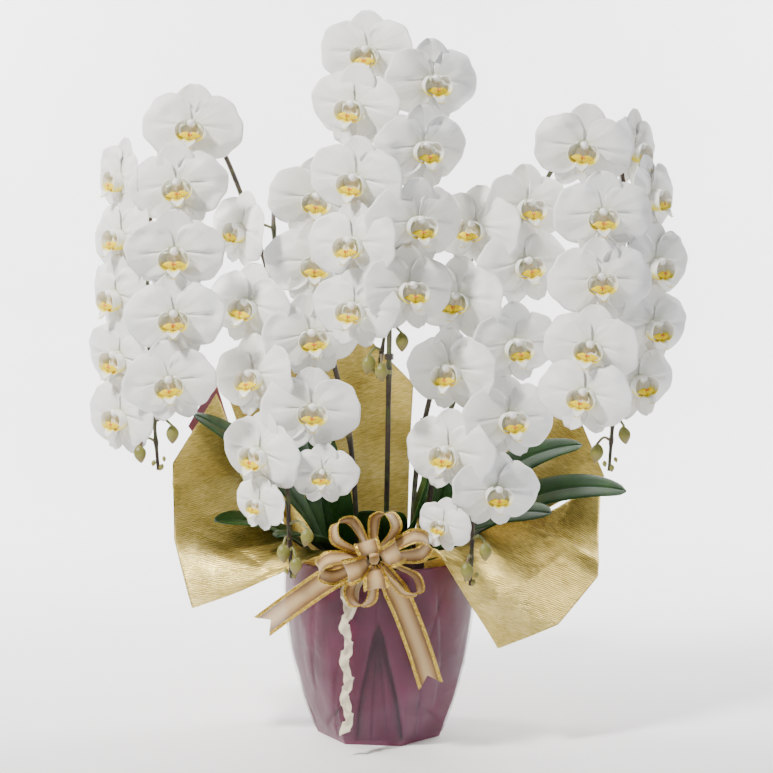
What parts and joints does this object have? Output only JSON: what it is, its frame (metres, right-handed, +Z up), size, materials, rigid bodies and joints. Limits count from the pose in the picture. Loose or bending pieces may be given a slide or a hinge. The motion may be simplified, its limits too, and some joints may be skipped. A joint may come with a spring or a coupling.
{
  "type": "potted orchid",
  "caption": "White moth orchid gift pot: arched flower spikes on stakes over strap leaves, pot wrapped in mauve paper and clear film, gold crepe collar and organza bow.",
  "frame": {"origin": "centre of the wrapped foot, on the surface that the pot stands on", "axes": "+Z up, +X to the right seen from the front, front (bow) towards -Y"},
  "size_m": [0.6706, 0.3201, 0.8323],
  "materials": {
    "pot_ceramic": "glossy glaze",
    "moss": "dry fibrous moss",
    "mauve_paper": "satin wrapping paper",
    "clear_film": "clear glossy film",
    "gold_crepe": "metallic gold crepe paper",
    "orchid_white": "soft velvety petals",
    "stake_dark": "dark coated wire",
    "clip_dark": "moulded clip",
    "leaf_green": "waxy dark green leaf",
    "organza_peach": "sheer organza with gold edges",
    "cream_paper": "crinkled paper ribbon"
  },
  "bodies": {
    "root": {"pot": "pot_ceramic", "moss": "moss", "mauve_wrap": "mauve_paper", "clear_film": "clear_film", "gold_flap_left": "gold_crepe", "gold_sheet_back": "gold_crepe", "gold_sheet_right": "gold_crepe", "gold_flap_right": "gold_crepe", "mauve_backing": "mauve_paper", "flower_spray_1": "orchid_white", "stake_1": "stake_dark", "clip_1_1": "clip_dark", "clip_1_2": "clip_dark", "flower_spray_2": "orchid_white", "stake_2": "stake_dark", "clip_2_1": "clip_dark", "clip_2_2": "clip_dark", "flower_spray_3": "orchid_white", "stake_3": "stake_dark", "clip_3_1": "clip_dark", "clip_3_2": "clip_dark", "flower_spray_4": "orchid_white", "stake_4": "stake_dark", "clip_4_1": "clip_dark", "clip_4_2": "clip_dark", "flower_spray_5": "orchid_white", "stake_5": "stake_dark", "clip_5_1": "clip_dark", "clip_5_2": "clip_dark", "leaf_01": "leaf_green", "leaf_02": "leaf_green", "leaf_03": "leaf_green", "leaf_04": "leaf_green", "leaf_05": "leaf_green", "leaf_06": "leaf_green", "leaf_07": "leaf_green", "leaf_08": "leaf_green", "leaf_09": "leaf_green", "leaf_10": "leaf_green", "leaf_11": "leaf_green", "leaf_12": "leaf_green", "leaf_13": "leaf_green", "bow_loop_1": "organza_peach", "bow_loop_2": "organza_peach", "bow_loop_3": "organza_peach", "bow_loop_4": "organza_peach", "bow_loop_5": "organza_peach", "bow_loop_6": "organza_peach", "bow_loop_7": "organza_peach", "bow_loop_8": "organza_peach", "bow_loop_9": "organza_peach", "bow_loop_10": "organza_peach", "bow_knot": "organza_peach", "ribbon_tail_left": "organza_peach", "ribbon_tail_right": "organza_peach", "paper_streamer": "cream_paper"}
  },
  "joints": []
}
